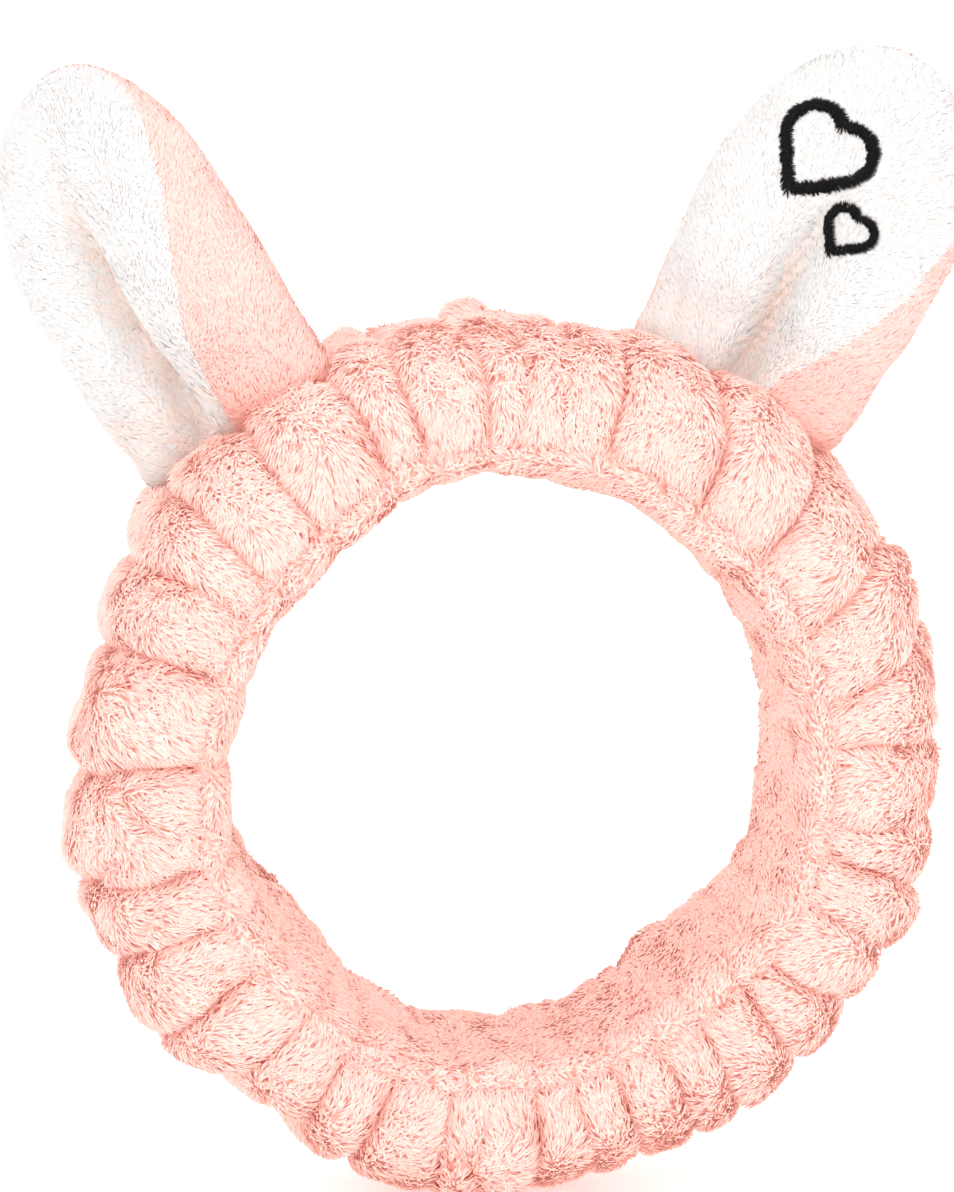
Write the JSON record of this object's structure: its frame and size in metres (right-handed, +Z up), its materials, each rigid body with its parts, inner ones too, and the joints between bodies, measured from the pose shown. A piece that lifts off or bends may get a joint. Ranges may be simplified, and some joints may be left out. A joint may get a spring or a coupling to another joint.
{
  "type": "animal ears headband",
  "caption": "Gathered plush headband on an elastic, with padded rabbit ears sewn to its crown; the ears flop fore and aft on their sewn bases.",
  "frame": {"origin": "centre of the head opening, halfway between the band's front and rear edges", "axes": "+Y along the hoop's axis from the front edge to the rear edge, +Z up towards the ears, +X to the right seen from the front"},
  "size_m": [0.2245, 0.058, 0.2681],
  "materials": {
    "coral_fleece": "long matt clumped pile",
    "coral_fleece_lining": "short matted pile",
    "pink_short_plush": "short brushed pile",
    "white_short_plush": "short brushed pile",
    "knitted_elastic": "ribbed knit",
    "polyester_fibrefill": "loose fibre",
    "tear_away_interlining": "non-woven felt",
    "white_thread": "twisted polyester",
    "coral_thread": "twisted polyester",
    "black_satin_thread": "satin stitch, soft sheen"
  },
  "bodies": {
    "band": {"band_outer_panel": "coral_fleece", "band_inner_panel": "coral_fleece_lining", "elastic_strip": "knitted_elastic", "elastic_join_stitches": "white_thread", "front_edge_seam": "coral_thread", "rear_edge_seam": "coral_thread", "closing_seam_stitches": "coral_thread", "left_ear_base_stitches": "coral_thread", "right_ear_base_stitches": "coral_thread"},
    "left_ear": {"left_ear_front_panel": "white_short_plush", "left_ear_back_panel": "pink_short_plush", "left_ear_stuffing": "polyester_fibrefill", "left_ear_edge_seam": "white_thread", "left_ear_pleat_stitches": "white_thread"},
    "right_ear": {"right_ear_front_panel": "white_short_plush", "right_ear_back_panel": "pink_short_plush", "right_ear_stuffing": "polyester_fibrefill", "right_ear_edge_seam": "white_thread", "right_ear_pleat_stitches": "white_thread", "right_ear_embroidery": "black_satin_thread", "right_ear_embroidery_backing": "tear_away_interlining"}
  },
  "joints": [
    {"name": "left_ear_flop", "type": "hinge", "parent": "band", "child": "left_ear", "pos_m": [-0.06745, 0, 0.0879], "axis": [0.6764, -0.6428, 0.3596], "range_deg": [-30, 55], "stiffness_Nm_per_rad": 0.12},
    {"name": "right_ear_flop", "type": "hinge", "parent": "band", "child": "right_ear", "pos_m": [0.05872, 0, 0.09396], "axis": [0.7927, -0.4226, -0.4394], "range_deg": [-30, 55], "stiffness_Nm_per_rad": 0.12}
  ]
}
